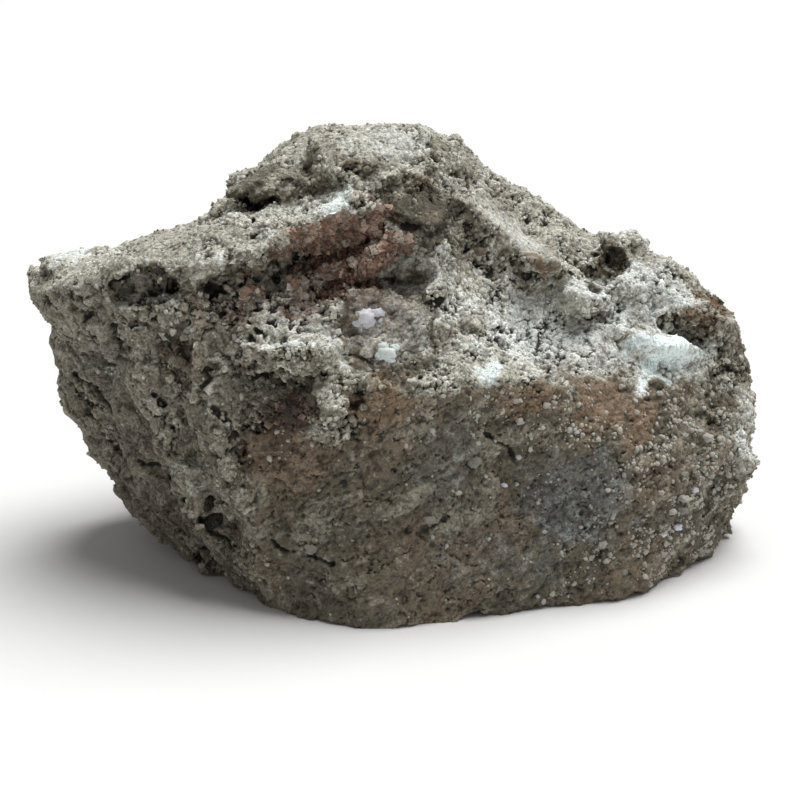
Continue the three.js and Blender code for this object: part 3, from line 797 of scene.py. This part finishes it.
def nodule_mesh(hue):
    """The nodules and blocks of one hue, each a roughened ball set into the front of the stone."""
    made = stone()
    front = np.flatnonzero((made.points[:, 1] < 4) & (made.facing[:, 1] < 0.1))
    (ball,), ball_faces = template("create_icosphere", 0, 1, subdivisions=3, radius=1)
    points = []
    faces = []
    for index, (x, z, width) in enumerate(NODULES[hue]):
        away = np.hypot(made.points[front, 0] - x, made.points[front, 2] - z)
        spot = front[np.argmin(away)]
        bumps = 1 + 0.5 * rugged(ball, 0.6, 60 + index, 4) + 0.5 * rugged(ball, 2.2, 90 + index, 1)
        squash = np.array([1, 0.5, 0.85]) if hue in ("lilac", "bloom") else np.array([1, 0.7, 0.8])
        middle = made.points[spot] + made.facing[spot] * width * (-0.12 if hue == "brown" else 0.04)
        faces.append(np.array(ball_faces) + len(points) * len(ball))
        points.append(middle + ball * bumps[:, None] * squash * width / 2)
    return shaped_mesh(hue, np.clip(np.vstack(points), LOW, HIGH), np.vstack(faces).tolist())


# Materials


class Value:
    """A number that varies over a surface, which takes + - * / with others and with plain numbers."""

    def __init__(self, shader, socket):
        self.shader = shader
        self.socket = socket

    def maths(self, operation, *values):
        return self.shader.node("ShaderNodeMath", {"operation": operation}, dict(enumerate(values)))

    def __add__(self, other):
        return self.maths("ADD", self, other)

    def __sub__(self, other):
        return self.maths("SUBTRACT", self, other)

    def __mul__(self, other):
        return self.maths("MULTIPLY", self, other)

    def __rsub__(self, other):
        return self.maths("SUBTRACT", other, self)

    __radd__ = __add__
    __rmul__ = __mul__

    def above_zero(self):
        return self.maths("MAXIMUM", self, 0)

    def above(self, low, high):
        """0 below low, 1 above high, and smooth between them. Low may be the higher of the two."""
        return self.shader.node(
            "ShaderNodeMapRange",
            {"interpolation_type": "SMOOTHSTEP"},
            {"Value": self, "From Min": low, "From Max": high},
        )


class Shader:
    """The node tree of one material."""

    def __init__(self, name):
        self.material = bpy.data.materials.new(name)
        self.material.use_nodes = True
        self.tree = self.material.node_tree
        self.tree.nodes.clear()
        self.place = self.node("ShaderNodeTexCoord", {}, {}, "Object")

    def node(self, kind, settings, sockets, output=0):
        """Adds a node of this type, gives it its settings, then its socket values and links."""
        made = self.tree.nodes.new(kind)
        for setting, value in settings.items():
            setattr(made, setting, value)
        for name, value in sockets.items():
            if isinstance(value, Value):
                self.tree.links.new(value.socket, made.inputs[name])
            else:
                made.inputs[name].default_value = value
        return Value(self, made.outputs[output]) if made.outputs else None

    def attribute(self, name):
        """The three numbers of a vector attribute."""
        vector = self.node("ShaderNodeAttribute", {"attribute_name": name}, {}, "Vector")
        return [self.node("ShaderNodeSeparateXYZ", {}, {0: vector}, axis) for axis in "XYZ"]

    def vector(self, operation, sockets, output="Vector"):
        return self.node("ShaderNodeVectorMath", {"operation": operation}, sockets, output)

    def noise(self, wavelength, detail, shift=(0, 0, 0)):
        """Noise on the object's own coordinates, from 0 to 1, with this wavelength in millimetres."""
        place = self.vector("ADD", {0: self.place, 1: shift})
        sockets = {"Vector": place, "Scale": 1 / (wavelength * MM), "Detail": detail, "Roughness": 0.6}
        return self.node("ShaderNodeTexNoise", {}, sockets)

    def streaks(self, wavelength, along, share):
        """Noise drawn out along a unit direction."""
        reach = self.vector("DOT_PRODUCT", {0: self.place, 1: along}, "Value")
        return self.noise(wavelength, 4, self.vector("SCALE", {0: along, "Scale": reach * (share - 1)}))

    def mix(self, share, low, high, blend="MIX"):
        """Colour low where share is 0 and high where it is 1."""
        sockets = {0: share, 6: self.colour(low), 7: self.colour(high)}
        return self.node("ShaderNodeMix", {"data_type": "RGBA", "blend_type": blend}, sockets, 2)

    def colour(self, value):
        return value if isinstance(value, Value) else (*value, 1)

    def grey(self, value):
        """A grey of this brightness."""
        return self.node("ShaderNodeCombineColor", {}, {0: value, 1: value, 2: value})

    def bump(self, height, distance):
        return self.node("ShaderNodeBump", {}, {"Height": height, "Distance": distance * MM, "Strength": 1})

    def surface(self, sockets):
        shader = self.node("ShaderNodeBsdfPrincipled", {}, sockets)
        self.node("ShaderNodeOutputMaterial", {}, {"Surface": shader})
        return self.material


# Colours that only the shading mixes in, as linear light.
# Pale dust, partly painted light where the crust faces up most.
DUSTED_AND_LIT = (0.77, 0.785, 0.74)
TAN = (0.25, 0.205, 0.14)
DARK_SALT = (0.116, 0.101, 0.066)
SALT_STREAK = (0.235, 0.205, 0.145)
PALE_FLECK = (0.35, 0.32, 0.25)
DARK_FLECK = (0.075, 0.056, 0.038)
SCAB = (0.34, 0.32, 0.25)
DEEP_SHADE = (0.05, 0.036, 0.027)
PINK_GRAIN = (0.42, 0.32, 0.26)
CLEAR_FLECK = (0.31, 0.34, 0.34)
WHITE_BLOOM = (0.9, 1.0, 0.98)


@functools.cache
def stone_material(name, clear, shade_between_crystals=0.5, vary=0.16):
    """Crust and bare salt, coloured by the stains, the light level and the relief stored on the mesh, with
    painted light and shade from the facing, the recesses and the tips.
    """
    shader = Shader(name)
    hues = colours()
    red, orange, cool = shader.attribute("stains")
    # The pale bloom, the light level with its painted light and shade, and the share of bare salt.
    pale, light, salt = shader.attribute("cover_and_light")
    cavity, tint, edge = shader.attribute("relief")
    broad = shader.noise(9, 3)
    mottle = shader.noise(2.6, 5, (3, 3, -3))
    grain = shader.noise(0.8, 4, (5, 5, -5))
    sand = shader.noise(0.4, 2, (9, 9, -9))
    patchy = (mottle - 0.5) * 1.2 + (grain - 0.5) * 0.9
    speckle = (grain - 0.5) * 1.5 + (sand - 0.5) * 1.6

    # The crust level is partly real tone and partly painted light and shade: the light level, the painted
    # highlight on tips and the random mottle pick dark, earthy, light and dusted crust.
    level = light + patchy * 1.3 + (broad - 0.5) * 1.1 + edge * 0.12
    crust = shader.mix(level.above(-0.5, 0.55), hues.dark_shaded_crust, hues.earthy_crust)
    crust = shader.mix(level.above(0.3, 1.35), crust, hues.pale_lit_crust)
    crust = shader.mix(level.above(1.2, 2.2), crust, DUSTED_AND_LIT)
    crust = shader.mix(broad.above(0.52, 0.68) * 0.55, crust, TAN)

    streak = shader.streaks(3.5, (0.86, 0.1, 0.5), 0.35)
    deep = shader.noise(16, 2, (7, 7, -7))
    bare = shader.mix((deep + (streak - 0.5) * 0.5).above(0.36, 0.62), hues.salt, DARK_SALT)
    bare = shader.mix((streak + patchy * 0.12).above(0.52, 0.74) * 0.6, bare, SALT_STREAK)
    bare = shader.mix((mottle + patchy * 0.2).above(0.56, 0.74) * 0.75, bare, PALE_FLECK)
    bare = shader.mix((mottle + patchy * 0.2).above(0.43, 0.3) * 0.75, bare, DARK_FLECK)
    bare = shader.mix((light + patchy * 0.8).above(0.1, 1.2) * 0.55, bare, SCAB)
    bare = shader.mix((light + patchy * 0.3).above(-0.1, -1.1) * 0.8, bare, DEEP_SHADE)

    body = shader.mix(salt, crust, bare)
    body = shader.mix((red + patchy * 0.5).above(0.1, 0.8), body, hues.iron_red)
    pink = (red + patchy * 0.5).above(0.2, 0.7) * (tint + grain * 0.6).above(0.9, 1.5) * 0.7
    body = shader.mix(pink, body, PINK_GRAIN)
    body = shader.mix((orange + patchy * 0.4 + (deep - 0.5)).above(0, 1.1) * 0.85, body, hues.orange)
    clear_salt = (cool + patchy * 0.4 + (deep - 0.5)).above(0, 1.3)
    body = shader.mix(clear_salt * 0.75, body, hues.blue_grey)
    body = shader.mix(clear_salt * (mottle + speckle * 0.15).above(0.5, 0.66) * 0.5, body, CLEAR_FLECK)
    body = shader.mix((pale + patchy * 0.6).above(0.15, 0.8) * 0.9, body, hues.bloom)
    body = shader.mix((pale + patchy * 0.3).above(0.65, 1.05), body, WHITE_BLOOM)
    # Painted shade in recesses, from the cavity, less under pale bloom.
    hollow = cavity.above(-0.1, 0.62) * (0.84 - pale * 0.4)
    # Painted shade where the light level is low.
    painted_shade = (light + patchy * 0.3).above(-0.3, -1.5) * 0.62
    fine = 0.9 + tint * (vary - salt * 0.04) + speckle * (1.05 - salt * 0.15)
    # Painted shade on the stone under the red crystals, so the gaps between them look dark.
    fine = fine * (1 - red.above(0.2, 0.8) * shade_between_crystals)
    # The shade multiplies in the painted shade of recesses and low light, the painted highlight and shade
    # of the edge, and the random grain.
    shade = (1 - hollow) * (1 - painted_shade) * (1 + edge * (0.46 - salt * 0.2)) * fine
    body = shader.mix(1, body, shader.grey(shade.above_zero()), "MULTIPLY")
    rough = 0.92 - salt * 0.32
    height = (grain * 0.8 + sand * 0.6 + mottle * 0.4) * (1 - salt * 0.5) * (1 - pale * 0.4)
    sockets = {"Base Color": body, "Roughness": rough, "Normal": shader.bump(height, 0.55)}
    if clear:
        sockets.update({"Subsurface Weight": 0.25, "Subsurface Scale": 1.2 * MM})
        sockets["Subsurface Radius"] = (1, 0.7, 0.45)
    return shader.surface(sockets)


HUES = {
    "white": (0.53, 0.51, 0.45),
    "green": (0.29, 0.28, 0.235),
    "lilac": (0.9, 0.89, 0.96),
    "orange": (0.42, 0.3, 0.2),
    "brown": (0.22, 0.18, 0.135),
    "bloom": (0.93, 1.0, 0.99),
}


@functools.cache
def nodule_material(hue):
    """Nodules in one of the pale hues."""
    shader = Shader(hue + " nodules")
    grain = shader.noise(0.5, 4, (2, 2, -2))
    mottle = shader.noise(1.6, 3, (4, 4, -4))
    dull = tuple(0.76 * one for one in HUES[hue])
    tint = shader.attribute("relief")[1]
    body = shader.mix((grain * 0.6 + mottle * 0.5 + tint * 0.2).above(0.3, 0.75), dull, HUES[hue])
    glow = {"Subsurface Weight": 0.2, "Subsurface Scale": 0.8 * MM}
    return shader.surface({"Base Color": body, "Roughness": 0.8, "Normal": shader.bump(grain, 0.3), **glow})


class SALT_OT_surface(bpy.types.Operator):
    """Models the stone's own surface, in pieces that meet edge to edge"""

    bl_idname = "salt.surface"
    bl_label = "Surface"

    def execute(self, context):
        made = stone()
        quads = np.empty(len(made.mesh.polygons) * 4, np.int32)
        made.mesh.polygons.foreach_get("vertices", quads)
        quads = quads.reshape(-1, 4)
        zone = tidy_zones(zones_of_faces(made, quads), quads, len(made.points))
        for index, name in enumerate(ZONES):
            mesh = surface_piece(name, made, quads[zone == index])
            material = stone_material("bare salt" if index == SALT else "earthy crust", index == SALT)
            finish_piece(name, mesh, material)
        return {"FINISHED"}


class SALT_OT_crumbs(bpy.types.Operator):
    """Scatters loose crumbs over the crust"""

    bl_idname = "salt.crumbs"
    bl_label = "Crumbs"

    def execute(self, context):
        made = stone()
        kind = template("create_icosphere", 0.42, 32, subdivisions=1, radius=1)
        y = made.points[:, 1]
        high = made.points[:, 2] > 2
        front = smoothstep(18, 10, y) * high * made.crust * made.calm
        clump = smoothstep(-0.25, 0.3, rugged(made.points, 5, 21, 3))
        size = sizes().crumb
        material = stone_material("earthy crust", False)
        bare = np.minimum(made.stains["red"] * 1.3, 1)

        top = front * made.upward * (0.25 + clump)
        wall = front * (1 - made.upward) * (1 - 0.9 * made.left) * (0.15 + clump) * (1 - bare)
        left = front * made.left * (0.2 + clump)
        back = smoothstep(8, 16, y) * high * made.crust * (0.2 + clump) * (1 - 0.9 * made.left)
        # The weights, count, share of the width, seed and flatness of each group.
        rows = [
            ("crumbs_on_top", top, 4500, 0.85, 31, 0.6),
            ("crumbs_on_slope", wall, 5000, 1.2, 32, 0.75),
            ("crumbs_on_left_face", left, 200, 0.8, 33, 0.6),
            ("crumbs_on_back", back, 5000, 0.9, 34, 0.7),
        ]
        for name, weights, count, share, seed, squash in rows:
            mesh = scattered(name, kind, weights, count, size * share, seed, 0.5, squash, 0.45)
            finish_piece(name, mesh, material)
        return {"FINISHED"}


class SALT_OT_crystals(bpy.types.Operator):
    """Sets blocky crystals into the red hollow"""

    bl_idname = "salt.crystals"
    bl_label = "Crystals"

    def execute(self, context):
        made = stone()
        kind = template("create_cube", 0.2, 24, size=1.5)
        steep = smoothstep(0.5, 0.3, made.facing[:, 2])
        weights = smoothstep(0.15, 0.8, made.stains["red"]) * made.crust * steep
        form = {"spread": 0.35, "squash": 0.95, "sink": 0.42, "tilt": 1.0, "smooth": False}
        mesh = scattered("red_crystals", kind, weights, 2800, sizes().crystal, 41, **form)
        finish_piece("red_crystals", mesh, stone_material("red crystals", False, 0, 0.3))
        return {"FINISHED"}


class SALT_OT_popcorn(bpy.types.Operator):
    """Grows popcorn nodules on the bare salt, thickest at the right end"""

    bl_idname = "salt.popcorn"
    bl_label = "Popcorn"

    def execute(self, context):
        made = stone()
        kind = template("create_uvsphere", 0.3, 24, u_segments=7, v_segments=5, radius=1)
        x, _, z = made.points.T
        right = smoothstep(20, 70, x)
        near_brow = smoothstep(16, 2, np.interp(x, BROW_X, BROW_Z) - z)
        clump = smoothstep(-0.1, 0.35, rugged(made.points, 6, 22, 3))
        weights = made.salt * made.calm * (z > 1.5) * (0.03 + right + 0.3 * near_brow) * (0.06 + clump)
        weights *= 1 - 0.7 * np.minimum(made.stains["orange"], 1)
        form = {"spread": 0.6, "squash": 0.7, "sink": 0.5, "most": 1.5}
        mesh = scattered("popcorn", kind, weights, 2600, sizes().popcorn, 51, **form)
        finish_piece("popcorn", mesh, nodule_material("white"))
        return {"FINISHED"}


class SALT_OT_nodules(bpy.types.Operator):
    """Sets the larger nodules, pads and blocks into the front"""

    bl_idname = "salt.nodules"
    bl_label = "Nodules"

    def execute(self, context):
        for hue in HUES:
            finish_piece(hue + "_nodules", nodule_mesh(hue), nodule_material(hue))
        return {"FINISHED"}


class SALT_OT_stage(bpy.types.Operator):
    """Sets the floor, the lights and the camera"""

    bl_idname = "salt.stage"
    bl_label = "Stage"

    def execute(self, context):
        shape = bmesh.new()
        bmesh.ops.create_grid(shape, x_segments=1, y_segments=1, size=3)
        mesh = bpy.data.meshes.new("floor")
        shape.to_mesh(mesh)
        shape.free()
        shader = Shader("studio floor")
        shade = shader.mix(shader.noise(60, 2) * 0.1, colours().floor, (0.82, 0.82, 0.82))
        mesh.materials.append(shader.surface({"Base Color": shade, "Roughness": 0.9}))
        mesh_object("floor", mesh)

        scene = context.scene
        scene.view_settings.view_transform = "Standard"
        world = bpy.data.worlds.new("studio")
        scene.world = world
        world.use_nodes = True
        sky = world.node_tree.nodes["Background"].inputs
        sky["Color"].default_value = (0.99, 0.99, 0.99, 1)
        sky["Strength"].default_value = 0.215

        key = bpy.data.lights.new("overhead softbox", "SUN")
        key.energy = 3.2
        key.angle = math.radians(46)
        lamp = mesh_object("overhead softbox", key)
        lamp.rotation_euler = Vector((-0.24, -0.14, -1)).to_track_quat("-Z", "Y").to_euler()

        # The photograph's angle of view, about 20 degrees downwards.
        camera = bpy.data.cameras.new("camera")
        camera.sensor_width = 36
        camera.lens = 92.25
        camera.clip_start = 0.01
        eye = mesh_object("camera", camera)
        eye.location = Vector((1.0, -426.5, 188.1)) * MM
        target = Vector((1.0, -3.6, 34.2)) * MM
        eye.rotation_euler = (target - eye.location).to_track_quat("-Z", "Y").to_euler()
        scene.camera = eye
        return {"FINISHED"}


class SALT_PT_panel(bpy.types.Panel):
    """Lists the sizes, the colours and the steps"""

    bl_label = "Rock salt"
    bl_idname = "SALT_PT_panel"
    bl_space_type = "VIEW_3D"
    bl_region_type = "UI"
    bl_category = "Rock salt"

    def draw(self, context):
        for group in (context.scene.salt_sizes, context.scene.salt_colours):
            for name in group.__annotations__:
                self.layout.prop(group, name)
        for operator in OPERATORS:
            self.layout.operator(operator.bl_idname)


GROUPS = [SaltSizes, SaltColours]
OPERATORS = [
    SALT_OT_stage,
    SALT_OT_surface,
    SALT_OT_crumbs,
    SALT_OT_crystals,
    SALT_OT_popcorn,
    SALT_OT_nodules,
]
CLASSES = [*GROUPS, *OPERATORS, SALT_PT_panel]


def register():
    for one in CLASSES:
        bpy.utils.register_class(one)
    bpy.types.Scene.salt_sizes = PointerProperty(type=SaltSizes)
    bpy.types.Scene.salt_colours = PointerProperty(type=SaltColours)


def unregister():
    del bpy.types.Scene.salt_colours
    del bpy.types.Scene.salt_sizes
    for one in reversed(CLASSES):
        bpy.utils.unregister_class(one)


def main():
    register()
    bpy.ops.salt.stage()
    bpy.ops.salt.surface()
    bpy.ops.salt.crumbs()
    bpy.ops.salt.crystals()
    bpy.ops.salt.popcorn()
    bpy.ops.salt.nodules()


if __name__ == "__main__":
    main()
